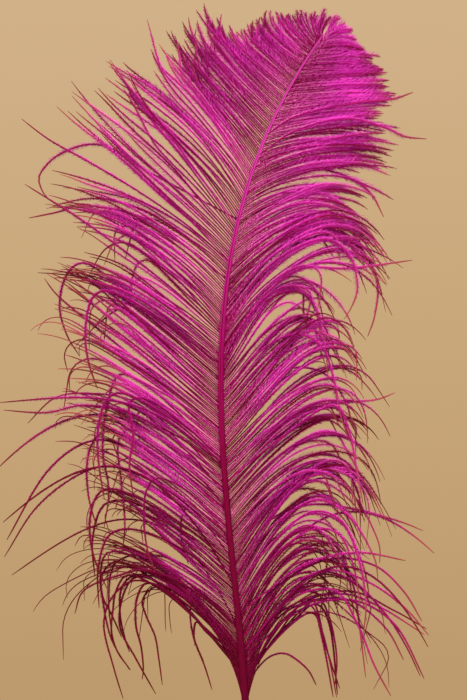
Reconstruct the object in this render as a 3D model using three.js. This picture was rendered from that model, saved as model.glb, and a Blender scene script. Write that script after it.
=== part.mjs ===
// A single ostrich plume, standing on the cut end of its quill.
// Millimetres. +Z runs up the quill, the front faces -Y, and the tip leans to +X.
import * as THREE from "three";

// ---- Driving dimensions (mm) ----

const PLUME_HEIGHT = 600; // from the cut end of the quill to the tip of the shaft
const SHAFT_SWAY = [0, 0, -78, 62]; // sideways control values of the shaft's curve, foot to tip
const SHAFT_BOW = [0, 0, -52, 45]; // fore-and-aft control values of the same curve

const CALAMUS_TOP = 62; // where the bare hollow quill ends and the vane begins
const CALAMUS_BORE = 1.9; // radius of the hollow at the cut end
const CALAMUS_BORE_DEPTH = 46;
const SHAFT_RADII = [
  // [height, radius]
  [0, 2.9],
  [62, 3.0],
  [170, 2.5],
  [300, 2.4],
  [370, 2.1],
  [430, 1.7],
  [520, 1.3],
  [600, 0.8],
];
const END_GAP = 0.3; // clear space between two lengths of shaft
const END_BEVEL = 1.2; // height of the cone that lets one length tip on the next
const END_RADIUS = 0.35; // end face of a bevelled length, as a share of its radius

const LOCKS_PER_SIDE = 22;
const LOCK_PITCH = 24; // measured up the shaft
const LOCK_THICKNESS = 1.6;
const LOCK_GAP = 1.6; // measured up the shaft, between one lock and the next
const LOCK_STEPS = 12; // lengths of bent slab in one lock
const LOCK_TIP_WIDTH = 0.4; // width at the tip, as a share of the width at the root
const ROOT_GAP = 0.4; // between the shaft and the root of a lock
const VANE_FOOT = 64; // root of the lowest barb
const VANE_SWEEP = 0.1; // how far the vane falls back for each millimetre of reach

const STRAY_WIDTH = 2.0;
const STRAY_STEPS = 16;

const HINGE_HEIGHTS = [6, 12, 17].map((locks) => VANE_FOOT + locks * LOCK_PITCH); // between two locks

// How a barb runs from its root. Each row is the height of the root, then the reach and the
// rise of the barb's first control point, second control point and tip.
const LEFT_BARBS = [
  [60, 12, 40, 60, 90, 75, 20],
  [100, 20, 40, 85, 105, 130, 35],
  [140, 23, 32, 75, 85, 125, 60],
  [180, 25, 28, 72, 78, 125, 72],
  [260, 30, 28, 75, 70, 120, 72],
  [310, 33, 32, 85, 80, 130, 110],
  [360, 34, 36, 82, 86, 145, 108],
  [400, 30, 36, 78, 90, 148, 112],
  [440, 28, 40, 76, 92, 120, 130],
  [480, 25, 38, 58, 80, 90, 112],
  [520, 24, 30, 52, 56, 70, 84],
  [550, 20, 20, 44, 36, 56, 58],
  [580, 12, 10, 32, 20, 40, 34],
  [600, 6, 6, 15, 12, 20, 18],
];
const RIGHT_BARBS = [
  [60, 15, 40, 55, 100, 70, 10],
  [100, 25, 48, 84, 110, 130, 10],
  [150, 26, 42, 84, 108, 118, 12],
  [190, 28, 38, 92, 115, 122, 10],
  [230, 28, 34, 94, 115, 126, 34],
  [270, 28, 38, 92, 116, 125, 32],
  [320, 22, 38, 84, 120, 108, 26],
  [370, 22, 36, 94, 116, 125, 14],
  [420, 25, 32, 84, 92, 124, 24],
  [460, 26, 24, 75, 54, 124, 40],
  [490, 26, 20, 72, 42, 116, 34],
  [520, 26, 14, 64, 28, 100, 26],
  [550, 24, 8, 52, 20, 78, 14],
  [580, 16, 5, 32, 8, 46, 2],
  [600, 8, 3, 16, 3, 22, -4],
];

// Long loose barbs: side, height of the root, fore-and-aft place, then the same six numbers.
const STRAY_BARBS = [
  ["stray_left_1", -1, 118, 9, 60, 125, 110, 95, 184, 42],
  ["stray_left_2", -1, 152, -9, 70, 130, 120, 110, 186, 52],
  ["stray_left_3", -1, 214, 10, 70, 92, 120, 98, 186, 32],
  ["stray_left_4", -1, 246, -9, 60, 70, 110, 60, 180, 54],
  ["stray_right_1", 1, 84, -9, 50, 110, 100, 110, 148, 20],
  ["stray_right_2", 1, 128, 9, 60, 110, 110, 95, 158, 50],
];

// ---- Materials ----

function dyed(name, hex, roughness) {
  return new THREE.MeshStandardMaterial({ name, color: hex, roughness });
}

const QUILL = dyed("dyed_quill", 0x8c0438, 0.45);
const SHAFT = dyed("dyed_shaft", 0x9c0a4e, 0.5);
const BARBS = dyed("dyed_barbs", 0xac1484, 0.9);
const DARK_BARBS = dyed("dark_barbs", 0x7c0a4c, 0.9);

// ---- The two curves everything is laid out on ----

function cubic(values, t) {
  const s = 1 - t;
  return s * s * s * values[0] + 3 * s * s * t * values[1] + 3 * s * t * t * values[2] + t * t * t * values[3];
}

function shaftPoint(height) {
  const t = height / PLUME_HEIGHT;
  return new THREE.Vector3(cubic(SHAFT_SWAY, t), cubic(SHAFT_BOW, t), height);
}

function shaftTangent(height) {
  return shaftPoint(height + 0.5).sub(shaftPoint(height - 0.5)).normalize();
}

// The row of a table at a height, with every number blended between the two nearest rows.
function rowAt(table, height) {
  let upper = 1;
  while (upper < table.length - 1 && table[upper][0] < height) upper += 1;
  const below = table[upper - 1];
  const above = table[upper];
  const share = THREE.MathUtils.clamp((height - below[0]) / (above[0] - below[0]), 0, 1);
  return below.map((value, column) => THREE.MathUtils.lerp(value, above[column], share));
}

function shaftRadius(height) {
  return rowAt(SHAFT_RADII, height)[1];
}

// A point on the barb whose root is at this height, t running from 0 at the root to 1 at the tip.
function barbPoint(side, height, t) {
  const row = rowAt(side < 0 ? LEFT_BARBS : RIGHT_BARBS, height);
  const tangent = shaftTangent(height);
  const across = new THREE.Vector3(tangent.z, 0, -tangent.x).normalize();
  const root = shaftPoint(height).addScaledVector(across, side * (shaftRadius(height) + ROOT_GAP));
  const reach = cubic([0, row[1], row[3], row[5]], t);
  const rise = cubic([0, row[2], row[4], row[6]], t);
  return root.add(new THREE.Vector3(side * reach, VANE_SWEEP * reach, rise));
}

// ---- Shapes ----

// Bends a straight geometry so that its z runs along the shaft.
function bendAlongShaft(geometry) {
  const place = geometry.attributes.position;
  for (let i = 0; i < place.count; i += 1) {
    const height = place.getZ(i);
    const tangent = shaftTangent(height);
    const right = new THREE.Vector3(tangent.z, 0, -tangent.x).normalize();
    const back = new THREE.Vector3().crossVectors(tangent, right);
    const point = shaftPoint(height);
    point.addScaledVector(right, place.getX(i));
    point.addScaledVector(back, place.getY(i));
    place.setXYZ(i, point.x, point.y, point.z);
  }
  geometry.computeVertexNormals();
  return geometry;
}

// A round solid from a profile of [radius, height] pairs that starts and ends on the axis.
function turned(profile, sides) {
  const points = profile.map(([radius, height]) => new THREE.Vector2(radius, height));
  const geometry = new THREE.LatheGeometry(points, sides);
  geometry.rotateX(Math.PI / 2);
  return geometry;
}

// One length of shaft from one height to another, with a cone at each end that meets a hinge.
function shaftLength(bottom, top, coneBelow, coneAbove) {
  const profile = [[0, bottom]];
  const steps = 12;
  if (coneBelow) profile.push([shaftRadius(bottom) * END_RADIUS, bottom]);
  for (let i = 0; i <= steps; i += 1) {
    const low = bottom + (coneBelow ? END_BEVEL : 0);
    const high = top - (coneAbove ? END_BEVEL : 0);
    const height = THREE.MathUtils.lerp(low, high, i / steps);
    profile.push([shaftRadius(height), height]);
  }
  if (coneAbove) profile.push([shaftRadius(top) * END_RADIUS, top]);
  profile.push([0, top]);
  return bendAlongShaft(turned(profile, 20));
}

// The bare quill: a tube, open at the cut end and closed by its own dome inside.
function calamusShape() {
  const rim = CALAMUS_BORE_DEPTH - 4;
  const top = CALAMUS_TOP - END_GAP / 2;
  const profile = [
    [0, CALAMUS_BORE_DEPTH],
    [CALAMUS_BORE * 0.6, CALAMUS_BORE_DEPTH - 1],
    [CALAMUS_BORE, rim],
    [CALAMUS_BORE, rim / 2],
    [CALAMUS_BORE, 0],
  ];
  for (let i = 0; i <= 8; i += 1) {
    const height = (top * i) / 8;
    profile.push([shaftRadius(height), height]);
  }
  profile.push([0, top]);
  return turned(profile, 24);
}

// A lock of barbs: a slab whose long way follows the barbs and whose width runs up the shaft.
function lockShape(side, bottom, top, length) {
  const geometry = new THREE.BoxGeometry(1, LOCK_THICKNESS, 1, LOCK_STEPS, 1, 1);
  const place = geometry.attributes.position;
  const middle = (bottom + top) / 2;
  for (let i = 0; i < place.count; i += 1) {
    const t = (place.getX(i) + 0.5) * length;
    const narrowing = THREE.MathUtils.smoothstep(t, 0.4, 1) * (1 - LOCK_TIP_WIDTH);
    const height = middle + place.getZ(i) * (top - bottom) * (1 - narrowing);
    const point = barbPoint(side, height, t);
    place.setXYZ(i, point.x, point.y + place.getY(i), point.z);
  }
  return side < 0 ? turnedInsideOut(geometry) : geometry;
}

// Swaps two corners of every triangle, for a shape that was mirrored as it was bent.
function turnedInsideOut(geometry) {
  const index = geometry.index;
  for (let i = 0; i < index.count; i += 3) {
    const second = index.getX(i + 1);
    index.setX(i + 1, index.getX(i + 2));
    index.setX(i + 2, second);
  }
  geometry.computeVertexNormals();
  return geometry;
}

// One long loose barb, in front of the vane or behind it.
function strayShape(side, height, depth, controls) {
  const geometry = new THREE.BoxGeometry(1, LOCK_THICKNESS, STRAY_WIDTH, STRAY_STEPS, 1, 1);
  const place = geometry.attributes.position;
  const root = shaftPoint(height);
  const start = Math.sign(depth) * (shaftRadius(height) + ROOT_GAP + LOCK_THICKNESS / 2);
  for (let i = 0; i < place.count; i += 1) {
    const t = place.getX(i) + 0.5;
    const reach = cubic([0, controls[0], controls[2], controls[4]], t);
    const rise = cubic([0, controls[1], controls[3], controls[5]], t);
    const back = THREE.MathUtils.lerp(start, depth, THREE.MathUtils.smoothstep(t, 0, 0.3));
    place.setXYZ(
      i,
      root.x + side * reach,
      root.y + back + VANE_SWEEP * reach + place.getY(i),
      root.z + rise + place.getZ(i),
    );
  }
  return side < 0 ? turnedInsideOut(geometry) : geometry;
}

// ---- The plume ----

const plume = new THREE.Group();
plume.name = "ostrich_plume";

function addPiece(name, geometry, material) {
  const mesh = new THREE.Mesh(geometry, material);
  mesh.name = name;
  plume.add(mesh);
}

function addShaft() {
  addPiece("calamus", bendAlongShaft(calamusShape()), QUILL);
  const names = ["rachis_lower", "rachis_middle", "rachis_upper", "rachis_tip"];
  const ends = [CALAMUS_TOP, ...HINGE_HEIGHTS, PLUME_HEIGHT];
  names.forEach((name, i) => {
    const bottom = ends[i] + END_GAP / 2;
    const top = i < 3 ? ends[i + 1] - END_GAP / 2 : ends[i + 1];
    addPiece(name, shaftLength(bottom, top, i > 0, i < 3), SHAFT);
  });
}

function addLocks(side, sideName) {
  for (let i = 0; i < LOCKS_PER_SIDE; i += 1) {
    const bottom = VANE_FOOT + i * LOCK_PITCH + LOCK_GAP / 2;
    const top = bottom + LOCK_PITCH - LOCK_GAP;
    const length = 0.94 + 0.06 * Math.sin(2.4 * i + side);
    const name = `lock_${sideName}_${String(i + 1).padStart(2, "0")}`;
    const material = i < 3 ? DARK_BARBS : BARBS;
    addPiece(name, lockShape(side, bottom, top, length), material);
  }
}

function addStrays() {
  for (const [name, side, height, depth, ...controls] of STRAY_BARBS) {
    addPiece(name, strayShape(side, height, depth, controls), DARK_BARBS);
  }
}

addShaft();
addLocks(-1, "left");
addLocks(1, "right");
addStrays();

export default plume;
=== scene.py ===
"""How the ostrich plume looks: separate barbs with their barbules, a smooth shaft and a hollow quill.

Metres. +Z runs up the quill, the front of the vane faces -Y and the tip leans to +X.
"""
import math

import bpy
import numpy as np
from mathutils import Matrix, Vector


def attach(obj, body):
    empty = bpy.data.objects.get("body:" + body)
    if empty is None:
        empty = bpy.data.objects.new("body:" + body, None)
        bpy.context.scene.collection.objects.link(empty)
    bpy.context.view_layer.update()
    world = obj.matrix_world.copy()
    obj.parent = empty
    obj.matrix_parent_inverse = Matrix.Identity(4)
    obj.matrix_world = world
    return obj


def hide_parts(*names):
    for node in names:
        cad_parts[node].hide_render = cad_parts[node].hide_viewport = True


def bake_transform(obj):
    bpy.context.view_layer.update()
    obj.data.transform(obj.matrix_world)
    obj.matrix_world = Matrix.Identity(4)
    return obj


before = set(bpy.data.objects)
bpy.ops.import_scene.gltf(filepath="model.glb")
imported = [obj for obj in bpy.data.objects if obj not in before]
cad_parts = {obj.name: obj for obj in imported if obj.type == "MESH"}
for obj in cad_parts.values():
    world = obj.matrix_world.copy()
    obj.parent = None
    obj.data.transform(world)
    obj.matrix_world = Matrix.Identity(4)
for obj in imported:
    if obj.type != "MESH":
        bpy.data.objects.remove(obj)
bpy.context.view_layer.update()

MM = 0.001
rng = np.random.default_rng(24)  # for the sizes, shades and barbules
LAYOUT_SEEDS = {-1: 8, 1: 6}  # for the centre lines of the barbs of each side

# ---- Dimensions shared with the CAD frame (mm) ----

PLUME_HEIGHT = 600
SHAFT_SWAY = [0, 0, -78, 62]
SHAFT_BOW = [0, 0, -52, 45]
SHAFT_RADII = np.array([
    [0, 2.9],
    [62, 3.0],
    [170, 2.5],
    [300, 2.4],
    [370, 2.1],
    [430, 1.7],
    [520, 1.3],
    [600, 0.8],
])
CALAMUS_TOP = 62
CALAMUS_BORE = 1.9
CALAMUS_BORE_DEPTH = 46
CALAMUS_DOME = 4  # height of the dome that closes the hollow
END_RIM = 0.05  # an extra ring this close to each end of a length of shaft keeps its join from showing
LOCKS_PER_SIDE = 22
LOCK_PITCH = 24
VANE_FOOT = 64
VANE_SWEEP = 0.1
HINGE_LOCKS = [6, 12, 17]
BLEND_REACH = 48  # locks lying within this far above and below a hinge ride no body
BODIES = ["plume_foot", "plume_middle", "plume_upper", "plume_tip"]

# Each row is the height of a root, then the reach and the rise of the barb's first control
# point, second control point and tip.
LEFT_BARBS = np.array([
    [66, 8, 42, 54, 120, 92, 74],
    [88, 13, 36, 70, 108, 128, 82],
    [106, 22, 30, 80, 82, 122, 76],
    [128, 30, 26, 78, 64, 110, 72],
    [165, 32, 28, 72, 62, 115, 76],
    [205, 33, 27, 75, 64, 115, 74],
    [246, 34, 28, 80, 68, 124, 76],
    [278, 34, 28, 84, 72, 132, 96],
    [302, 32, 28, 78, 78, 128, 122],
    [338, 30, 24, 74, 66, 126, 64],
    [352, 28, 22, 72, 56, 124, 66],
    [358, 26, 30, 66, 76, 112, 98],
    [382, 26, 28, 76, 76, 140, 80],
    [404, 22, 26, 82, 72, 142, 72],
    [416, 23, 26, 80, 66, 130, 114],
    [440, 22, 31, 66, 86, 112, 120],
    [474, 17, 30, 53, 76, 102, 104],
    [490, 16, 26, 46, 62, 74, 86],
    [514, 20, 22, 50, 52, 70, 77],
    [540, 21, 18, 46, 42, 63, 68],
    [551, 19, 16, 40, 37, 54, 57],
    [561, 16, 13, 33, 29, 43, 45],
    [570, 14, 11, 30, 22, 39, 36],
    [579, 12, 8, 26, 18, 33, 33],
    [585, 9, 7, 21, 17, 27, 29],
    [592, 7, 7, 12, 14, 15, 22],
    [596, 2, 6, 4, 12, 4, 19],
    [600, -2, 5, -6, 11, -11, 17],
])
RIGHT_BARBS = np.array([
    [66, 10, 46, 40, 100, 88, 80],
    [84, 12, 42, 44, 98, 88, 68],
    [102, 15, 36, 44, 98, 86, 58],
    [130, 14, 26, 46, 106, 92, 40],
    [158, 18, 28, 62, 130, 108, 26],
    [198, 23, 26, 76, 98, 124, 12],
    [212, 22, 26, 82, 106, 128, 16],
    [238, 24, 22, 84, 98, 118, 40],
    [270, 24, 22, 82, 112, 114, 42],
    [310, 22, 20, 64, 96, 95, 40],
    [330, 14, 24, 56, 130, 100, 16],
    [346, 19, 28, 73, 114, 140, 60],
    [352, 18, 30, 72, 104, 136, 56],
    [360, 18, 26, 76, 118, 126, 18],
    [398, 22, 21, 74, 74, 112, 34],
    [440, 23, 18, 64, 40, 102, 26],
    [475, 22, 16, 68, 28, 112, 10],
    [503, 21, 9, 61, 17, 101, 10],
    [533, 22, 5, 60, 8, 90, 7],
    [547, 22, 3, 58, 4, 86, 3],
    [559, 20, 2, 52, 2, 78, 1],
    [570, 18, 1, 42, 0, 63, -3],
    [581, 15, 3, 35, 3, 51, -2],
    [590, 12, 4, 25, 5, 37, -2],
    [595, 8, 5, 17, 8, 26, 6],
    [598, 5, 4, 10, 10, 15, 12],
    [600, 3, 4, 5, 10, 5, 16],
])
STRAY_BARBS = [
    ("stray_left_1", -1, 118, 9, 60, 125, 110, 95, 184, 42),
    ("stray_left_2", -1, 152, -9, 70, 130, 120, 110, 186, 52),
    ("stray_left_3", -1, 214, 10, 70, 92, 120, 98, 186, 32),
    ("stray_left_4", -1, 246, -9, 60, 70, 110, 60, 180, 54),
    ("stray_right_1", 1, 84, -9, 50, 110, 100, 110, 148, 20),
    ("stray_right_2", 1, 128, 9, 60, 110, 110, 95, 158, 50),
]

# Long single threads: side, height of the root, how far in front or behind the end lies, then
# the reach and the rise of each point the thread passes through.
LONG_THREADS = [
    (-1, 254, 5, [(30, 32), (62, 60), (84, 68), (94, 40), (97, 8), (92, -24), (96, -56)]),
    (-1, 254, -6, [(31, 28), (59, 48), (75, 46), (72, 20), (75, -4), (72, -28)]),
    (-1, 230, 7, [(37, 32), (69, 50), (86, 40), (84, 8), (81, -24), (83, -52)]),
    (-1, 200, -5, [(31, 28), (55, 40), (66, 30), (68, 6), (65, -18), (58, -36)]),
    (-1, 184, 6, [(20, 20), (34, 32), (40, 22), (39, 2), (34, -14)]),
    (-1, 236, 6, [(32, 34), (72, 64), (104, 71), (136, 68), (160, 46)]),
    (-1, 226, -5, [(32, 36), (72, 64), (112, 72), (144, 66), (180, 68)]),
    (-1, 190, 7, [(26, 32), (66, 62), (106, 80), (146, 56), (182, -4)]),
    (-1, 176, -6, [(35, 42), (83, 70), (115, 70), (155, 42), (184, -2)]),
    (-1, 446, 6, [(70, 38), (110, 61), (142, 55), (160, 38), (158, 24), (150, 15)]),
    (-1, 412, -5, [(32, 28), (72, 56), (112, 80), (144, 98), (168, 116)]),
    (-1, 398, 7, [(40, 32), (80, 54), (116, 60), (136, 55), (161, 50)]),
    (-1, 354, -6, [(34, 32), (74, 64), (111, 91), (160, 122)]),
    (-1, 338, 8, [(49, 40), (89, 62), (110, 74), (124, 65), (130, 40), (124, 16), (113, -2)]),
    (-1, 330, -7, [(50, 38), (86, 58), (102, 54), (108, 30), (106, 4), (98, -20)]),
    (-1, 278, 5, [(34, 28), (66, 54), (98, 80), (130, 106), (143, 122)]),
    (-1, 250, -8, [(35, 32), (75, 56), (92, 54), (100, 32), (100, 4), (95, -28)]),
    (-1, 214, 9, [(38, 30), (78, 56), (100, 62), (112, 44), (112, 12), (104, -18)]),
    (-1, 170, -7, [(36, 30), (80, 56), (104, 60), (114, 40), (112, 10), (100, -20)]),
    (-1, 160, 8, [(40, 34), (76, 58), (104, 58), (114, 30), (112, -2)]),
    (-1, 150, -5, [(41, 32), (77, 48), (101, 44), (110, 16), (109, -16)]),
    (-1, 140, 6, [(42, 30), (74, 38), (98, 30), (103, 2), (100, -30)]),
    (-1, 120, -8, [(36, 30), (72, 46), (96, 42), (124, 30), (132, 10)]),
    (-1, 104, 10, [(22, 20), (36, 35), (41, 28), (38, 6), (30, -14), (23, -36)]),
    (-1, 100, -6, [(38, 42), (82, 74), (107, 80), (113, 62), (111, 40), (104, 10), (89, -15)]),
    (-1, 90, 6, [(14, 20), (50, 55), (82, 70), (95, 58), (99, 30), (86, 4), (69, -26)]),
    (-1, 80, -9, [(16, 30), (52, 64), (84, 78), (104, 66), (112, 42), (104, 8), (96, -18)]),
    (-1, 100, 5, [(34, 30), (74, 60), (99, 72), (112, 62), (112, 44), (104, 28), (96, 10)]),
    (-1, 92, -4, [(30, 28), (62, 56), (90, 70), (101, 58), (104, 40), (105, 24), (100, 8), (89, -7)]),
    (-1, 88, 8, [(22, 22), (54, 56), (82, 73), (97, 64), (99, 42), (95, 22), (91, 10)]),
    (-1, 84, -6, [(19, 22), (51, 56), (75, 72), (85, 60), (86, 38), (82, 22), (80, 4), (81, -6)]),
    (-1, 82, 4, [(17, 20), (46, 54), (68, 70), (81, 60), (78, 46), (71, 30), (68, 12), (65, -10)]),
    (-1, 80, 6, [(12, 18), (30, 36), (38, 44), (40, 32), (36, 20), (32, 12)]),
    (1, 515, 3, [(26, 16), (74, 27), (102, 30), (120, 36)]),
    (1, 498, -4, [(30, 20), (70, 30), (102, 23), (118, 16), (137, 14)]),
    (1, 468, 4, [(43, 19), (75, 16), (99, 2), (112, -20)]),
    (1, 366, -8, [(38, 44), (78, 64), (100, 52), (107, 28), (103, 12), (96, 0)]),
    (1, 360, 7, [(38, 46), (82, 74), (112, 60), (124, 36), (122, 10), (116, -8)]),
    (1, 340, -6, [(31, 42), (63, 66), (103, 67), (155, 74)]),
    (1, 300, -6, [(23, 34), (55, 54), (79, 46), (90, 18), (94, -6), (102, -30)]),
    (1, 270, 5, [(22, 30), (50, 56), (80, 54), (98, 32), (104, 12), (111, 0)]),
    (1, 250, 6, [(45, 32), (85, 48), (121, 52), (138, 58)]),
    (1, 236, -8, [(44, 36), (84, 62), (98, 44), (104, 14), (110, -18)]),
    (1, 170, 8, [(30, 36), (62, 48), (98, 44), (134, 34), (154, 26)]),
    (1, 150, -9, [(26, 34), (58, 62), (84, 56), (98, 26), (104, -8), (102, -36)]),
    (1, 110, 9, [(24, 40), (64, 64), (88, 48), (94, 24), (98, -8), (101, -33)]),
    (1, 88, -5, [(18, 34), (54, 74), (86, 70), (113, 44), (130, 18), (143, -9)]),
    (1, 180, 5, [(29, 34), (69, 59), (97, 46), (117, 10), (119, -10)]),
    (1, 160, -6, [(27, 38), (63, 62), (91, 50), (111, 18), (115, -2)]),
    (1, 150, 7, [(26, 36), (58, 60), (86, 52), (102, 20), (108, -8)]),
    (1, 140, -4, [(26, 34), (58, 58), (82, 54), (94, 26), (99, -6)]),
    (1, 126, 4, [(24, 32), (52, 56), (76, 60), (88, 36), (93, 0)]),
    (1, 130, -6, [(24, 20), (56, 42), (96, 50), (136, 43)]),
    (1, 120, 6, [(32, 34), (72, 54), (108, 49), (132, 28), (148, 2)]),
    (1, 110, -7, [(35, 40), (71, 56), (103, 46), (131, 26), (152, 2)]),
    (1, 104, 8, [(38, 32), (78, 42), (110, 32), (150, 7)]),
    (1, 100, -8, [(38, 42), (74, 50), (93, 22), (106, -10), (120, -36)]),
    (1, 96, 5, [(38, 38), (82, 46), (114, 24), (131, -5)]),
    (1, 92, -5, [(42, 40), (86, 50), (122, 30), (147, -16)]),
    (1, 84, 6, [(38, 38), (58, 54), (70, 34), (76, -22)]),
    (1, 82, 4, [(25, 28), (45, 50), (60, 60), (68, 48), (73, 28), (75, 8), (73, -12)]),
    (1, 80, -7, [(33, 38), (55, 52), (63, 30), (72, -18)]),
    (1, 78, 7, [(15, 24), (45, 59), (85, 70), (121, 54), (149, 38)]),
    (1, 76, -4, [(21, 30), (41, 58), (53, 68), (59, 56), (64, 34), (70, 14), (77, -6)]),
    (1, 74, -8, [(14, 26), (37, 58), (53, 64), (62, 44), (69, 16), (74, -11)]),
    (1, 70, 5, [(8, 14), (20, 26), (34, 28), (50, 16), (58, 2)]),
]

# ---- Dimensions of what only shows (mm) ----

# The tables of pairs give a value at heights up the shaft, unless they say otherwise.
BARB_SPACING = [
    [64, 1.8],
    [130, 1.7],
    [330, 1.7],
    [400, 2.0],
    [480, 1.9],
    [540, 1.3],
    [590, 0.8],
    [598, 0.45],
]
LAST_ROOT = 599
BARB_STEPS = 44
BARB_SIDES = 5

# Neighbouring barbs draw together into small bundles, though the loose ones hardly do. The last
# two tables say how strongly.
BUNDLE_SPACING = (10, 26)
BUNDLE_SIZE = [[64, 0.8], [330, 0.9], [460, 0.7], [560, 0.35], [600, 0.2]]
LOOSE_SHARE = 0.2
LEFT_GATHER = [[64, 1], [350, 0.9], [450, 0.85], [520, 0.45], [600, 0.3]]
RIGHT_GATHER = [[64, 1], [350, 0.9], [380, 0.5], [500, 0.35], [600, 0.3]]

# How many of the barbs hook over at their ends, how long the longest of those are against their
# usual length, and how far they turn. Then how far the others curl down, where less than 0 is up.
# Turns and curls are in radians.
LEFT_HOOKS = [[60, 0.75], [130, 0.6], [200, 0.45], [260, 0.3], [350, 0.35], [400, 0.12], [420, 0]]
RIGHT_HOOKS = [[60, 0.4], [150, 0.35], [230, 0.3], [380, 0.3], [430, 0.1], [480, 0]]
HOOK_LENGTH = [[60, 1.5], [120, 1.25], [200, 1.1]]
HOOK_TURN = (1.2, 2.8)
LEFT_CURL = [[60, 0.3], [400, 0.1], [450, -0.4], [540, -0.6], [600, -0.5]]
RIGHT_CURL = [[60, 0.3], [300, 0.3], [400, 0.15], [500, 0.05], [600, 0]]

# How thick a barb is from its root (0) to its tip (1), and how its size changes up the shaft.
BARB_RADIUS = [[0, 0.62], [0.03, 0.51], [0.3, 0.56], [0.6, 0.62], [0.85, 0.56], [0.96, 0.45], [1, 0.2]]
BARB_SIZE = [[64, 0.75], [150, 0.85], [250, 1]]
LONG_THREAD_SIZE = 1.4

# Barbules. Their length and their lean (radians away from the barb) are given along the barb.
BARBULE_SPACING = 0.72
BARBULE_RADIUS = 0.24
BARBULE_LENGTH = [[0, 1.8], [0.05, 1.4], [0.2, 2.0], [0.45, 3.1], [0.75, 3.7], [0.88, 2.4], [0.96, 1.2]]
BARBULE_LEAN = [[0, 0.4], [0.2, 0.5], [0.5, 0.62], [1, 0.6]]
LEFT_FULLNESS = [[64, 0.6], [200, 1.0], [330, 1.1], [450, 1.15], [550, 1.7]]
RIGHT_FULLNESS = [[64, 0.6], [200, 1.1], [330, 1.2], [450, 1.6], [550, 1.9]]

# How early the barbules end: 1 is at the tip, and more is before it.
LEFT_BARE_END = [[64, 1.4], [200, 1.25], [330, 1.15], [450, 1.0]]
RIGHT_BARE_END = [[64, 1.15], [200, 1.1], [330, 1.05], [450, 1.0]]
LONG_BARE_END = 1.05

# The brightness of each barb lies between the first two, from 0 (darkest) to 1. The long threads
# have their own.
DARKEST = [[60, 0], [300, 0], [350, 0.12], [500, 0.15], [560, 0.2]]
BRIGHTEST = [[60, 0.05], [110, 0.2], [150, 0.7], [200, 1], [300, 1], [470, 1], [540, 0.75]]
LEFT_LONG_BRIGHTNESS = [[60, 0], [170, 0.1], [210, 0.35], [300, 0.4], [600, 0.5]]
RIGHT_LONG_BRIGHTNESS = [[60, 0.1], [84, 0.2], [96, 0.7], [110, 0.8], [600, 0.75]]

SHAFT_CUTS = [280, 412]  # where the smooth lengths of shaft meet, between the hinges
SHAFT_SIDES = 32
SHAFT_STEP = 1.5
QUILL_SIDES = 40

# ---- Camera (m) ----

CAMERA_DISTANCE = 2.2
VIEW_HEIGHT = 0.56
VIEW_CENTRE = (-0.0116, 0.342)  # X and Z of the middle of the view


# ---- Curves ----

def cubic(p0, p1, p2, p3, t):
    s = 1 - t
    return s**3 * p0 + 3 * s * s * t * p1 + 3 * s * t * t * p2 + t**3 * p3


def smoothstep(low, high, x):
    share = np.clip((x - low) / (high - low), 0, 1)
    return share * share * (3 - 2 * share)


def along_table(pairs, x):
    table = np.asarray(pairs, float)
    return np.interp(x, table[:, 0], table[:, 1])


def shaft_point(height):
    t = np.asarray(height, float) / PLUME_HEIGHT
    return np.stack([cubic(*SHAFT_SWAY, t), cubic(*SHAFT_BOW, t), t * PLUME_HEIGHT], -1)


def shaft_frame(height):
    """Unit vectors along the shaft, to its right and to its back."""
    tangent = unit(shaft_point(height + 0.5) - shaft_point(height - 0.5))
    right = unit(np.stack([tangent[..., 2], 0 * tangent[..., 0], -tangent[..., 0]], -1))
    return tangent, right, np.cross(tangent, right)


def unit(vectors):
    return vectors / np.maximum(np.linalg.norm(vectors, axis=-1, keepdims=True), 1e-9)


def barb_curve(side, height, t, stretch, lift):
    """Points of barbs in the vane. Every argument but side is an array of one shape."""
    table = LEFT_BARBS if side < 0 else RIGHT_BARBS
    row = [np.interp(height, table[:, 0], table[:, column]) for column in range(1, 7)]
    inside = np.minimum(t, 1)
    beyond = 3 * np.maximum(t - 1, 0)
    reach = cubic(0, row[0], row[2], row[4], inside) + beyond * (row[4] - row[2])
    rise = cubic(0, row[1], row[3], row[5], inside) + beyond * (row[5] - row[3])
    reach = reach * stretch
    rise = rise * stretch + lift * t**2
    root = shaft_point(height)
    right = shaft_frame(height)[1]
    root = root + side * right * (along_table(SHAFT_RADII, height) * 0.8)[..., None]
    return root + np.stack([side * reach, VANE_SWEEP * reach, rise], -1)


def catmull_rom(a, b, c, d, t):
    """A point between b and c on the smooth curve through a, b, c and d."""
    linear = (c - a) * t
    square = (2 * a - 5 * b + 4 * c - d) * t**2
    cube = (3 * b - a - 3 * c + d) * t**3
    return 0.5 * (2 * b + linear + square + cube)


def thread_curve(side, height, depth, points):
    """A smooth line through the listed points, cut into equal steps."""
    corners = np.array([(0.0, 0.0)] + points)
    corners = np.concatenate([[-corners[1]], corners, [2 * corners[-1] - corners[-2]]])
    line = []
    for a, b, c, d in zip(corners, corners[1:], corners[2:], corners[3:]):
        for t in np.arange(0, 1, 0.05):
            line.append(catmull_rom(a, b, c, d, t))
    line = np.array(line)
    length = np.concatenate([[0], np.cumsum(np.linalg.norm(np.diff(line, axis=0), axis=1))])
    share = np.linspace(0, 1, BARB_STEPS)
    reach = np.interp(share * length[-1], length, line[:, 0])
    rise = np.interp(share * length[-1], length, line[:, 1])
    behind = depth * smoothstep(0, 0.6, share) + VANE_SWEEP * reach
    return shaft_point(height) + np.stack([side * reach, behind, rise], -1)


# ---- Meshes ----

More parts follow.
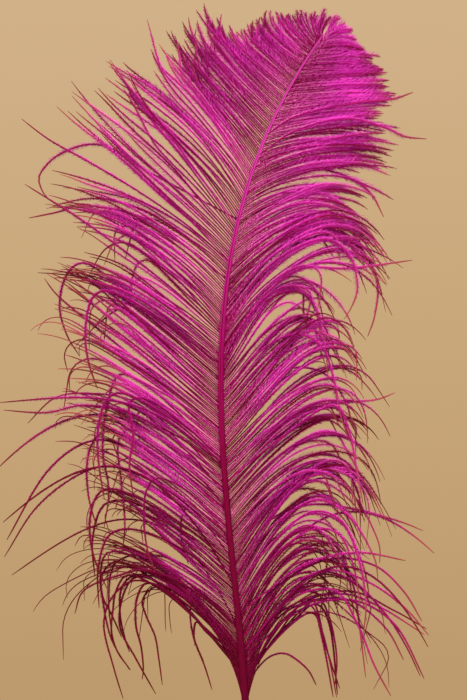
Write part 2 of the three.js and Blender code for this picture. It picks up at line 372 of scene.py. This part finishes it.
class Builder:
    """Gathers points, faces, bake coordinates and shading values, and makes one mesh of them."""

    def __init__(self):
        self.points = []
        self.quads = []
        self.triangles = []
        self.quad_uvs = []
        self.triangle_uvs = []
        self.shades = []
        self.count = 0

    def add(self, points, shades, quads, quad_uvs, triangles, triangle_uvs):
        self.points.append(points)
        self.shades.append(shades)
        self.quads.append(quads + self.count)
        self.triangles.append(triangles + self.count)
        self.quad_uvs.append(quad_uvs)
        self.triangle_uvs.append(triangle_uvs)
        self.count += len(points)

    def make(self, name, material):
        points = np.concatenate(self.points) * MM
        quads = np.concatenate(self.quads)
        triangles = np.concatenate(self.triangles)
        loops = np.concatenate([quads.ravel(), triangles.ravel()])
        starts = np.concatenate([
            np.arange(len(quads)) * 4,
            len(quads) * 4 + np.arange(len(triangles)) * 3,
        ])
        uvs = np.concatenate([
            np.concatenate(self.quad_uvs).reshape(-1, 2),
            np.concatenate(self.triangle_uvs).reshape(-1, 2),
        ])
        mesh = bpy.data.meshes.new(name)
        mesh.vertices.add(len(points))
        mesh.vertices.foreach_set("co", points.astype(np.float32).ravel())
        mesh.loops.add(len(loops))
        mesh.loops.foreach_set("vertex_index", loops.astype(np.int32))
        mesh.polygons.add(len(starts))
        mesh.polygons.foreach_set("loop_start", starts.astype(np.int32))
        mesh.update(calc_edges=True)
        mesh.validate()
        layer = mesh.uv_layers.new(name="OFBake")
        layer.data.foreach_set("uv", uvs.astype(np.float32).ravel())
        shade = mesh.attributes.new("shade", "FLOAT_COLOR", "POINT")
        colours = np.concatenate(self.shades)
        colours = np.concatenate([colours, np.ones((len(colours), 1))], 1)
        shade.data.foreach_set("color", colours.astype(np.float32).ravel())
        mesh.polygons.foreach_set("use_smooth", np.ones(len(starts), bool))
        mesh.materials.append(material)
        obj = bpy.data.objects.new(name, mesh)
        bpy.context.scene.collection.objects.link(obj)
        return obj


def add_strands(builder, centres, radii, shades, strips):
    """Closed tubes along rows of centres. strips holds the lowest and highest v of each in the bake."""
    rows, steps = radii.shape
    sides = BARB_SIDES
    tangent = unit(np.gradient(centres, axis=1))
    across = unit(np.cross(tangent, np.array([0.05, 1.0, 0.02])))
    normal = np.cross(tangent, across)
    angle = np.arange(sides) / sides * 2 * math.pi
    ring = (
        across[:, :, None] * np.cos(angle)[:, None] + normal[:, :, None] * np.sin(angle)[:, None]
    )
    points = centres[:, :, None] + ring * radii[:, :, None, None]
    index = np.arange(rows * steps * sides).reshape(rows, steps, sides)
    turned = np.roll(index, -1, axis=2)
    quads = np.stack([index[:, :-1], turned[:, :-1], turned[:, 1:], index[:, 1:]], -1)
    u = np.broadcast_to(np.linspace(0.002, 0.998, steps)[None, :, None], index.shape)
    low, high = strips[:, 0, None, None], strips[:, 1, None, None]
    share = np.arange(sides)[None, None] / sides
    v_here = np.broadcast_to(low + (high - low) * share, index.shape)
    v_next = np.broadcast_to(low + (high - low) * (share + 1 / sides), index.shape)
    quad_uvs = np.stack([
        np.stack([u[:, :-1], v_here[:, :-1]], -1),
        np.stack([u[:, :-1], v_next[:, :-1]], -1),
        np.stack([u[:, 1:], v_next[:, 1:]], -1),
        np.stack([u[:, 1:], v_here[:, 1:]], -1),
    ], -2)
    fans = []
    for cap in (index[:, 0, ::-1], index[:, -1]):
        for k in range(1, sides - 1):
            fans.append(np.stack([cap[:, 0], cap[:, k], cap[:, k + 1]], -1))
    fans = np.concatenate(fans)
    fan_uvs = np.tile(np.array([[0.0, 0.0], [0.001, 0.0], [0.0, 0.001]]), (len(fans), 1, 1))
    tube_shades = np.repeat(shades.reshape(-1, 3), sides, axis=0)
    builder.add(
        points.reshape(-1, 3),
        tube_shades,
        quads.reshape(-1, 4),
        quad_uvs.reshape(-1, 4, 2),
        fans,
        fan_uvs,
    )


def add_spikes(builder, roots, directions, bends, lengths, radii, shades, cells):
    """Closed three-sided spikes with one bend. cells holds each one's place and size in the bake."""
    count = len(roots)
    across = unit(np.cross(directions, np.array([0.1, 1.0, 0.3])))
    normal = np.cross(directions, across)
    middle = roots + directions * (lengths * 0.5)[:, None]
    tip = middle + unit(directions + bends) * (lengths * 0.5)[:, None]
    angle = np.arange(3) / 3 * 2 * math.pi
    ring = across[:, None] * np.cos(angle)[:, None] + normal[:, None] * np.sin(angle)[:, None]
    lower = roots[:, None] + ring * radii[:, None, None]
    upper = middle[:, None] + ring * (radii * 0.8)[:, None, None]
    points = np.concatenate([lower, upper, tip[:, None]], 1)
    index = np.arange(count * 7).reshape(count, 7)
    quads = []
    quad_uvs = []
    tips = []
    tip_uvs = []
    u, v, width, height = cells.T
    for k in range(3):
        following = (k + 1) % 3
        low_left, low_right = index[:, k], index[:, following]
        high_left, high_right = index[:, 3 + k], index[:, 3 + following]
        quads.append(np.stack([low_left, low_right, high_right, high_left], -1))
        tips.append(np.stack([high_left, high_right, index[:, 6]], -1))
        left = u + width * k / 3
        right = u + width * (k + 1) / 3
        half = v + height / 2
        quad_uvs.append(np.stack([
            np.stack([left, v], -1),
            np.stack([right, v], -1),
            np.stack([right, half], -1),
            np.stack([left, half], -1),
        ], 1))
        tip_uvs.append(np.stack([
            np.stack([left, half], -1),
            np.stack([right, half], -1),
            np.stack([(left + right) / 2, v + height], -1),
        ], 1))
    tips.append(np.stack([index[:, 2], index[:, 1], index[:, 0]], -1))
    tip_uvs.append(np.stack([
        np.stack([u, v], -1),
        np.stack([u + width, v], -1),
        np.stack([u, v + height / 4], -1),
    ], 1))
    builder.add(
        points.reshape(-1, 3),
        np.repeat(shades, 7, axis=0),
        np.concatenate(quads),
        np.concatenate(quad_uvs),
        np.concatenate(tips),
        np.concatenate(tip_uvs),
    )


# ---- Barbs ----

def barb_roots(layout):
    """Heights of the barbs' roots up one side, close together at the foot and the tip."""
    heights = []
    height = VANE_FOOT
    while height < LAST_ROOT:
        heights.append(height)
        height += along_table(BARB_SPACING, height) * layout.uniform(0.85, 1.15)
    return np.array(heights)


def bundles_of(layout, roots):
    """The height of the middle of the bundle that each barb is in, and the bundle's number."""
    middles = []
    height = VANE_FOOT
    while height < VANE_FOOT + LOCKS_PER_SIDE * LOCK_PITCH + 20:
        middles.append(height)
        height += layout.uniform(*BUNDLE_SPACING) * along_table(BUNDLE_SIZE, height)
    middles = np.array(middles)
    nearest = np.abs(roots[:, None] - middles[None]).argmin(1)
    return middles[nearest], nearest


def side_of_barbs(side):
    """The lock and the centre line of every barb of one side."""
    layout = np.random.default_rng(LAYOUT_SEEDS[side])
    roots = barb_roots(layout)
    count = len(roots)
    lock = np.minimum((roots - VANE_FOOT) // LOCK_PITCH, LOCKS_PER_SIDE - 1).astype(int)
    t = np.broadcast_to(np.linspace(0, 1, BARB_STEPS), (count, BARB_STEPS))
    size = smoothstep(PLUME_HEIGHT + 20, 420, roots) * 0.85 + 0.15
    middle, bundle = bundles_of(layout, roots)
    bundles = bundle.max() + 1
    loose = layout.random(count) < LOOSE_SHARE
    height = gathered(layout, side, roots, middle, loose, t)

    lock_lift = layout.normal(0, 6, LOCKS_PER_SIDE)[lock]
    bundle_lift = layout.normal(0, 7, bundles)[bundle]
    lift = np.clip(lock_lift + bundle_lift + layout.normal(0, 8, count), -18, 16) * size
    stretch = layout.normal(1.0, 0.05, count) + layout.normal(0, 0.04, bundles)[bundle]
    stretch = np.clip(stretch, 0.88, 1.1)
    hooked = layout.random(count) < along_table(LEFT_HOOKS if side < 0 else RIGHT_HOOKS, roots)
    ends = np.where(loose, 1.03, 1 - layout.gamma(1.6, 0.035, count) * (0.4 + 0.6 * size))
    hook_ends = layout.uniform(0.8, along_table(HOOK_LENGTH, roots))
    ends = np.where(hooked, hook_ends, np.maximum(ends, 0.6))
    centres = barb_curve(
        side,
        height,
        t * ends[:, None],
        np.broadcast_to(stretch[:, None], t.shape),
        np.broadcast_to(lift[:, None], t.shape),
    )
    centres = curled(layout, centres, side, roots, hooked)
    wander(layout, centres, bundle, size, t)
    return lock, centres


def gathered(layout, side, roots, middle, loose, t):
    """The height that each step of each barb follows, drawn towards the middle of its bundle."""
    pull = np.where(loose, 0.1, layout.uniform(0.15, 0.7, len(roots)))
    pull = (pull * along_table(LEFT_GATHER if side < 0 else RIGHT_GATHER, roots))[:, None]
    pull = pull * smoothstep(0.2, 0.7, t) - 0.45 * pull * smoothstep(0.75, 1, t)
    height = roots[:, None] + (middle - roots)[:, None] * pull
    return np.clip(height, VANE_FOOT, PLUME_HEIGHT)


def wander(layout, centres, bundle, size, t):
    """Sets bundles at different depths, and lets each barb wander a little about its own line."""
    count = len(centres)
    depth = layout.normal(0, 4.0, bundle.max() + 1)[bundle] + layout.normal(0, 3.0, count)
    centres[..., 1] += (depth * size)[:, None] * t
    for axis, amount in ((0, 2.1), (1, 2.0), (2, 2.1)):
        for waves in (1.1, 2.3, 4.1):
            phase = layout.uniform(0, 2 * math.pi, count)[:, None]
            swing = layout.normal(0, amount, count)[:, None] / waves
            wave = np.sin(waves * math.pi * t + phase) - np.sin(phase)
            centres[..., axis] += swing * size[:, None] * wave * t


def curled(layout, centres, side, roots, hooked):
    """Turns the last part of each barb down, no further than about straight down, or up."""
    count = len(centres)
    usual_curl = along_table(LEFT_CURL if side < 0 else RIGHT_CURL, roots)
    curl = usual_curl * np.minimum(layout.gamma(2.0, 0.5, count), 1.4)
    curl = np.where(hooked, layout.uniform(*HOOK_TURN, count), curl)[:, None]
    start = layout.uniform(0.58, 0.88, count)[:, None]
    width = layout.uniform(0.12, 0.5, count)[:, None]

    steps = np.diff(centres, axis=1)
    length = np.hypot(steps[..., 0], steps[..., 2])
    angle = np.arctan2(steps[..., 2], side * steps[..., 0])
    t = np.linspace(0, 1, steps.shape[1])[None]
    turned = angle - curl * smoothstep(start, start + width, t)
    lowest = -math.pi / 2 + layout.normal(0.05 if side < 0 else 0.2, 0.25, count)[:, None]
    turned = np.where(angle > lowest, np.maximum(turned, lowest), angle)
    steps[..., 0] = side * length * np.cos(turned)
    steps[..., 2] = length * np.sin(turned)
    moved = np.cumsum(steps, axis=1)
    return np.concatenate([centres[:, :1], centres[:, :1] + moved], 1)


def lock_mesh(name, side, centres, long, material):
    """One lock of barbs, each with its barbules, as a mesh object. long marks the long threads."""
    builder = Builder()
    count = len(centres)
    roots = centres[:, 0, 2]
    t = np.broadcast_to(np.linspace(0, 1, BARB_STEPS), (count, BARB_STEPS))
    fullness = along_table(LEFT_FULLNESS if side < 0 else RIGHT_FULLNESS, roots)
    bare_end = along_table(LEFT_BARE_END if side < 0 else RIGHT_BARE_END, roots)
    bare_end = np.where(long, LONG_BARE_END, bare_end)
    long_brightness = along_table(LEFT_LONG_BRIGHTNESS if side < 0 else RIGHT_LONG_BRIGHTNESS, roots)
    brightness = rng.uniform(along_table(DARKEST, roots), along_table(BRIGHTEST, roots))
    brightness = np.where(long, long_brightness, brightness)
    along = np.minimum(t * bare_end[:, None], 1)
    shades = np.stack([along, np.zeros_like(t), np.broadcast_to(brightness[:, None], t.shape)], -1)
    strips = np.stack([(np.arange(count) + 0.04) / count, (np.arange(count) + 0.4) / count], -1)
    size = np.where(long, LONG_THREAD_SIZE, along_table(BARB_SIZE, roots))
    size = size * rng.uniform(0.85, 1.15, count)
    radii = along_table(BARB_RADIUS, t) * size[:, None]
    add_strands(builder, centres, radii, shades, strips)
    for row in range(count):
        add_barbules(builder, centres[row], bare_end[row], fullness[row], brightness[row], row, count)
    return builder.make(name, material)


def add_barbules(builder, line, bare_end, fullness, brightness, row, rows):
    """The two fringes of barbules down one barb. row of rows is its strip for the bake."""
    steps = np.linalg.norm(np.diff(line, axis=0), axis=1)
    length = np.concatenate([[0], np.cumsum(steps)])
    stations = np.arange(0.6, length[-1] * 0.97 / bare_end, BARBULE_SPACING)
    stations = np.repeat(stations, 2) + rng.uniform(-0.3, 0.3, len(stations) * 2)
    count = len(stations)
    share = stations / length[-1]
    roots = point_along(line, length, stations)
    tangent = unit(point_along(line, length, stations + 1.0) - point_along(line, length, stations - 1.0))
    flat = unit(np.cross(tangent, np.array([0.0, 1.0, 0.0])))
    normal = np.cross(flat, tangent)
    hand = np.where(np.arange(count) % 2 == 0, 1.0, -1.0)
    lean = along_table(BARBULE_LEAN, share) + rng.normal(0.05, 0.16) + rng.normal(0, 0.15, count)
    tilt = rng.normal(0, 0.55, count)
    out = flat * (hand * np.cos(tilt))[:, None] + normal * np.sin(tilt)[:, None]
    direction = unit(tangent * np.cos(lean)[:, None] + out * np.sin(lean)[:, None])
    bend = tangent * rng.uniform(0.1, 0.9, count)[:, None] + rng.normal(0, 0.25, (count, 3))
    lengths = along_table(BARBULE_LENGTH, share * bare_end) * rng.uniform(0.6, 1.3, count) * fullness
    radii = np.full(count, BARBULE_RADIUS)

    # Barbules that point up get a painted highlight in their brightness, and those that point down get
    # painted shade.
    painted_light_brightness = np.clip(brightness + np.where(out[:, 2] > 0, 0.3, -0.3) * brightness**0.5, 0, 1)
    shades = np.stack([share * bare_end, np.ones(count), painted_light_brightness], -1)
    width = BARBULE_SPACING / length[-1]
    cells = np.stack([
        np.clip(share, 0, 1 - width),
        np.full(count, (row + 0.46) / rows),
        np.full(count, width),
        np.full(count, 0.5 / rows),
    ], -1)
    add_spikes(builder, roots, direction, bend, lengths, radii, shades, cells)


def point_along(line, length, stations):
    """Points of a line at the given distances along it."""
    return np.stack([np.interp(stations, length, line[:, axis]) for axis in range(3)], -1)


# ---- Materials ----

def new_material(name):
    material = bpy.data.materials.new(name)
    material.use_nodes = True
    tree = material.node_tree
    shader = tree.nodes["Principled BSDF"]
    return material, tree, shader


def ramp(tree, source, stops):
    """A colour ramp driven by a value. stops are (position, linear colour)."""
    node = tree.nodes.new("ShaderNodeValToRGB")
    elements = node.color_ramp.elements
    while len(elements) < len(stops):
        elements.new(0.5)
    for element, (position, colour) in zip(elements, stops):
        element.position = position
        element.color = (*colour, 1)
    tree.links.new(source, node.inputs["Fac"])
    return node.outputs["Color"]


def mixed(tree, factor, first, second, blend="MIX"):
    node = tree.nodes.new("ShaderNodeMix")
    node.data_type = "RGBA"
    node.blend_type = blend
    for socket, value in ((0, factor), (6, first), (7, second)):
        if isinstance(value, bpy.types.NodeSocket):
            tree.links.new(value, node.inputs[socket])
        else:
            node.inputs[socket].default_value = value
    return node.outputs[2]


def noise(tree, scale, detail=3.0, stretch=1.0):
    """Noise of a given scale, drawn out along the plume by stretch."""
    place = tree.nodes.new("ShaderNodeTexCoord")
    mapping = tree.nodes.new("ShaderNodeMapping")
    mapping.inputs["Scale"].default_value = (scale, scale, scale / stretch)
    node = tree.nodes.new("ShaderNodeTexNoise")
    node.inputs["Scale"].default_value = 1.0
    node.inputs["Detail"].default_value = detail
    tree.links.new(place.outputs["Object"], mapping.inputs["Vector"])
    tree.links.new(mapping.outputs["Vector"], node.inputs["Vector"])
    return node.outputs["Fac"]


def barb_material():
    """Dyed barbs: dark crimson threads with brighter barbules, browner towards the tips."""
    material, tree, shader = new_material("dyed_barbs")
    attribute = tree.nodes.new("ShaderNodeAttribute")
    attribute.attribute_name = "shade"
    parts = tree.nodes.new("ShaderNodeSeparateColor")
    tree.links.new(attribute.outputs["Color"], parts.inputs["Color"])
    along, kind, brightness = parts.outputs
    thread = ramp(tree, along, [
        (0.0, (0.20, 0.001, 0.05)),
        (0.45, (0.25, 0.001, 0.09)),
        (0.8, (0.32, 0.006, 0.09)),
        (1.0, (0.26, 0.02, 0.04)),
    ])
    fluff = ramp(tree, along, [
        (0.0, (0.76, 0.07, 0.40)),
        (0.25, (0.68, 0.035, 0.37)),
        (0.5, (0.72, 0.02, 0.42)),
        (0.75, (0.72, 0.02, 0.42)),
        (1.0, (0.46, 0.015, 0.15)),
    ])
    colour = mixed(tree, kind, thread, fluff)
    # For barbules the brightness also holds a painted highlight or painted shade, set by whether they
    # point up or down.
    tone = ramp(tree, brightness, [
        (0.0, (0.42, 0.2, 0.14)),
        (0.5, (0.85, 0.85, 0.82)),
        (1.0, (1.4, 3.6, 1.55)),
    ])
    colour = mixed(tree, 1.0, colour, tone, "MULTIPLY")
    patches = ramp(tree, noise(tree, 28), [(0.3, (0.75, 0.7, 0.68)), (0.7, (1.1, 1.1, 1.15))])
    colour = mixed(tree, 1.0, colour, patches, "MULTIPLY")
    tree.links.new(colour, shader.inputs["Base Color"])
    shader.inputs["Roughness"].default_value = 0.7
    shader.inputs["Specular IOR Level"].default_value = 0.04
    return material


def shaft_material():
    """Dyed keratin: deep crimson at the foot, pinker towards the tip, with fine ridges along it and
    painted shade in the groove down its front.
    """
    material, tree, shader = new_material("dyed_shaft")
    attribute = tree.nodes.new("ShaderNodeAttribute")
    attribute.attribute_name = "shade"
    parts = tree.nodes.new("ShaderNodeSeparateColor")
    tree.links.new(attribute.outputs["Color"], parts.inputs["Color"])
    along, groove_shade_amount = parts.outputs[0:2]
    colour = ramp(tree, along, [
        (0.0, (0.08, 0.001, 0.010)),
        (0.12, (0.10, 0.001, 0.014)),
        (0.4, (0.15, 0.001, 0.025)),
        (0.55, (0.24, 0.001, 0.06)),
        (0.7, (0.38, 0.010, 0.15)),
        (0.85, (0.52, 0.035, 0.27)),
        (1.0, (0.54, 0.040, 0.29)),
    ])
    ridges = noise(tree, 1500, 2, stretch=25)
    streaks = ramp(tree, ridges, [(0.3, (0.8, 0.8, 0.8)), (0.7, (1.15, 1.15, 1.2))])
    colour = mixed(tree, 1.0, colour, streaks, "MULTIPLY")
    # Painted shade: the colour is darkened by the groove's depth, as the shade inside the groove.
    groove_and_shade = ramp(tree, groove_shade_amount, [(0.2, (1, 1, 1)), (0.8, (0.3, 0.2, 0.2))])
    colour = mixed(tree, 1.0, colour, groove_and_shade, "MULTIPLY")
    tree.links.new(colour, shader.inputs["Base Color"])
    patches = noise(tree, 300, 2, stretch=4)
    wear = ramp(tree, patches, [(0.3, (0.45, 0.45, 0.45)), (0.7, (0.65, 0.65, 0.65))])
    tree.links.new(wear, shader.inputs["Roughness"])
    bump = tree.nodes.new("ShaderNodeBump")
    bump.inputs["Strength"].default_value = 0.3
    bump.inputs["Distance"].default_value = 0.0002
    tree.links.new(ridges, bump.inputs["Height"])
    tree.links.new(bump.outputs["Normal"], shader.inputs["Normal"])
    shader.inputs["Specular IOR Level"].default_value = 0.02
    return material


# ---- The plume ----

def ride_or_bend(obj, low, high):
    """obj follows the body its roots are on, or, near a hinge, rides no body and has its placement baked
    into its mesh.
    """
    for index, locks in enumerate(HINGE_LOCKS):
        hinge = VANE_FOOT + locks * LOCK_PITCH
        if low >= hinge - BLEND_REACH and high <= hinge + BLEND_REACH:
            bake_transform(obj)
            return
    middle = (low + high) / 2
    body = sum(middle > VANE_FOOT + locks * LOCK_PITCH for locks in HINGE_LOCKS)
    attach(obj, BODIES[body])


def build_locks(side, side_name, material):
    """All the locks of one side, with the long threads that spring from each."""
    lock, centres = side_of_barbs(side)
    threads = [thread for thread in LONG_THREADS if thread[0] == side]
    long = np.arange(len(centres) + len(threads)) >= len(centres)
    centres = np.concatenate([centres, [thread_curve(*thread) for thread in threads]])
    lock = np.concatenate([lock, [(thread[1] - VANE_FOOT) // LOCK_PITCH for thread in threads]])
    for index in range(LOCKS_PER_SIDE):
        here = lock == index
        name = f"{index + 1:02d}"
        obj = lock_mesh(f"barbs_{side_name}_{name}", side, centres[here], long[here], material)
        low = VANE_FOOT + index * LOCK_PITCH
        ride_or_bend(obj, low, low + LOCK_PITCH)
        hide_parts(f"lock_{side_name}_{name}")


def build_strays(material):
    """The longest loose barbs. Each is a piece of its own."""
    for name, side, height, depth, *controls in STRAY_BARBS:
        t = np.linspace(0, 1, BARB_STEPS)
        reach = cubic(0, controls[0], controls[2], controls[4], t)
        rise = cubic(0, controls[1], controls[3], controls[5], t)
        back = depth * smoothstep(0, 0.3, t)
        line = shaft_point(height) + np.stack([side * reach, back + VANE_SWEEP * reach, rise], -1)
        obj = lock_mesh("barb_" + name, side, line[None], np.array([True]), material)
        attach(obj, BODIES[height > VANE_FOOT + HINGE_LOCKS[0] * LOCK_PITCH])
        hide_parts(name)


def shaft_piece(name, low, high, material):
    """One smooth length of shaft, a little flattened. The groove down its front deepens upwards, and
    painted shade darkens its colour there.
    """
    builder = Builder()
    steps = int((high - low) / SHAFT_STEP)
    heights = np.concatenate([[low], np.linspace(low + END_RIM, high - END_RIM, steps), [high]])
    _, right, back = shaft_frame(heights)
    angle = np.arange(SHAFT_SIDES) / SHAFT_SIDES * 2 * math.pi
    groove_and_shade = np.exp(-((angle - 1.42 * math.pi) / 0.28) ** 2) * smoothstep(200, 420, heights)[:, None]
    radius = along_table(SHAFT_RADII, heights)[:, None] * (1 - 0.4 * groove_and_shade)
    if high == PLUME_HEIGHT:
        radius = radius * (1 - 0.85 * smoothstep(high - 3, high, heights))[:, None]
    offset = (
        right[:, None] * (np.cos(angle) * radius)[..., None]
        + back[:, None] * (np.sin(angle) * radius * 0.9)[..., None]
    )
    points = shaft_point(heights)[:, None] + offset
    add_rings(builder, points, heights, groove_and_shade)
    return builder.make(name, material)


def add_rings(builder, points, heights, groove_and_shade):
    """A closed tube through rings of points. Its bake coordinates unroll it."""
    steps, sides = points.shape[:2]
    index = np.arange(steps * sides).reshape(steps, sides)
    turned = np.roll(index, -1, axis=1)
    quads = np.stack([index[:-1], turned[:-1], turned[1:], index[1:]], -1)
    u = np.arange(sides) / sides
    v = np.linspace(0, 1, steps)
    here = np.stack(np.meshgrid(u, v[:-1]), -1)
    shift_u = np.array([1 / sides, 0.0])
    shift_v = np.array([0.0, v[1] - v[0]])
    quad_uvs = np.stack([here, here + shift_u, here + shift_u + shift_v, here + shift_v], -2)
    fans = []
    for ring in (index[0, ::-1], index[-1]):
        fans += [[ring[0], ring[k], ring[k + 1]] for k in range(1, sides - 1)]
    fans = np.array(fans)
    fan_uvs = np.tile(np.array([[0.0, 0.0], [0.001, 0.0], [0.0, 0.001]]), (len(fans), 1, 1))
    shades = np.zeros((steps, sides, 3))
    shades[..., 0] = (heights / PLUME_HEIGHT)[:, None]
    # The second channel is the groove's depth, which the shaft material turns into painted shade.
    shades[..., 1] = groove_and_shade
    builder.add(
        points.reshape(-1, 3),
        shades.reshape(-1, 3),
        quads.reshape(-1, 4),
        quad_uvs.reshape(-1, 4, 2),
        fans,
        fan_uvs,
    )


def build_shaft(material):
    """Three smooth lengths of shaft, each spanning one hinge, with their placement baked into their
    meshes.
    """
    hinges = [VANE_FOOT + locks * LOCK_PITCH for locks in HINGE_LOCKS]
    ends = [CALAMUS_TOP, *SHAFT_CUTS, PLUME_HEIGHT]
    stands_for = [["rachis_lower"], ["rachis_middle"], ["rachis_upper", "rachis_tip"]]
    for index, hinge in enumerate(hinges):
        obj = shaft_piece(f"shaft_{index + 1}", ends[index], ends[index + 1], material)
        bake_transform(obj)
        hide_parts(*stands_for[index])


def build_quill(material):
    """The bare quill: a smooth tube, cut square and open at its foot. A dome closes its hollow."""
    turn = np.linspace(0.1, 1, 8) * math.pi / 2
    dome = np.stack([
        CALAMUS_BORE_DEPTH - CALAMUS_DOME * (1 - np.cos(turn)),
        CALAMUS_BORE * np.sin(turn),
    ], -1)
    bore_heights = np.linspace(CALAMUS_BORE_DEPTH - CALAMUS_DOME - 1, 0.2, 24)
    bore = [(height, CALAMUS_BORE) for height in bore_heights]
    foot = along_table(SHAFT_RADII, 0)
    rim = [(0, CALAMUS_BORE + 0.15), (0, foot - 0.2), (0.06, foot - 0.06)]
    heights = np.append(np.linspace(0.2, CALAMUS_TOP - END_RIM, 48), CALAMUS_TOP)
    outside = np.stack([heights, along_table(SHAFT_RADII, heights)], -1)
    heights, radii = np.concatenate([dome, bore, rim, outside]).T
    _, right, back = shaft_frame(heights)
    angle = np.arange(QUILL_SIDES) / QUILL_SIDES * 2 * math.pi
    flat = 1 - 0.1 * smoothstep(30, CALAMUS_TOP, heights)[:, None, None]
    points = (
        shaft_point(heights)[:, None]
        + right[:, None] * (np.cos(angle) * radii[:, None])[..., None]
        + back[:, None] * (np.sin(angle) * radii[:, None])[..., None] * flat
    )
    builder = Builder()
    add_rings(builder, points, heights, 0)
    obj = builder.make("quill", material)
    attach(obj, BODIES[0])
    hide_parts("calamus")


# ---- Stage ----

def build_stage():
    """A pale floor, soft light all round, a tan wall and three lamps."""
    bpy.ops.mesh.primitive_cylinder_add(vertices=96, radius=0.36, depth=0.01, location=(0, 0, -0.0052))
    floor = bpy.context.object
    floor.name = "floor"
    material, _, shader = new_material("pale_floor")
    shader.inputs["Base Color"].default_value = (0.5, 0.42, 0.31, 1)
    shader.inputs["Roughness"].default_value = 0.8
    floor.data.materials.append(material)

    world = bpy.data.worlds.new("studio")
    bpy.context.scene.world = world
    world.use_nodes = True
    background = world.node_tree.nodes["Background"]
    background.inputs["Color"].default_value = (1.0, 0.98, 0.95, 1)
    background.inputs["Strength"].default_value = 0.55

    build_backdrop()
    add_light("key", (-1.2, -1.9, 1.5), 1.2, 75)
    add_light("fill", (1.6, -1.4, 0.7), 1.6, 28)
    add_light("back", (0.5, 1.8, 1.4), 1.2, 35)


def build_backdrop():
    """A plain tan wall far behind the plume. It glows by its own emission instead of being lit, with
    painted shade darkening it towards its foot.
    """
    bpy.ops.mesh.primitive_plane_add(size=4, location=(0, 6, 0.34), rotation=(math.pi / 2, 0, 0))
    wall = bpy.context.object
    wall.name = "backdrop"
    material, tree, shader = new_material("tan_wall")
    place = tree.nodes.new("ShaderNodeTexCoord")
    split = tree.nodes.new("ShaderNodeSeparateXYZ")
    tree.links.new(place.outputs["Generated"], split.inputs["Vector"])
    # Painted light and shade: the wall's glow is brighter high up and darker towards its foot.
    colour = ramp(tree, split.outputs["Y"], [
        (0.25, (0.51, 0.325, 0.155)),
        (0.55, (0.59, 0.395, 0.205)),
        (0.8, (0.65, 0.45, 0.255)),
    ])
    tree.links.new(colour, shader.inputs["Emission Color"])
    shader.inputs["Emission Strength"].default_value = 1.0
    shader.inputs["Base Color"].default_value = (0, 0, 0, 1)
    shader.inputs["Specular IOR Level"].default_value = 0.0
    wall.data.materials.append(material)


def add_light(name, place, size, watts):
    data = bpy.data.lights.new(name, "AREA")
    data.size = size
    data.energy = watts
    light = bpy.data.objects.new(name, data)
    light.location = place
    aim = Vector((0, 0, 0.33)) - Vector(place)
    light.rotation_euler = aim.to_track_quat("-Z", "Y").to_euler()
    bpy.context.scene.collection.objects.link(light)


def build_camera():
    """A long lens that looks level at the plume from the front."""
    data = bpy.data.cameras.new("camera")
    data.sensor_fit = "VERTICAL"
    data.sensor_height = 24
    data.lens = data.sensor_height * CAMERA_DISTANCE / VIEW_HEIGHT
    camera = bpy.data.objects.new("camera", data)
    camera.location = (VIEW_CENTRE[0], -CAMERA_DISTANCE, VIEW_CENTRE[1])
    camera.rotation_euler = (math.pi / 2, 0, 0)
    bpy.context.scene.collection.objects.link(camera)
    bpy.context.scene.camera = camera
    bpy.context.scene.view_settings.view_transform = "Standard"


barbs = barb_material()
shaft = shaft_material()
build_quill(shaft)
build_shaft(shaft)
build_locks(-1, "left", barbs)
build_locks(1, "right", barbs)
build_strays(barbs)
build_stage()
build_camera()
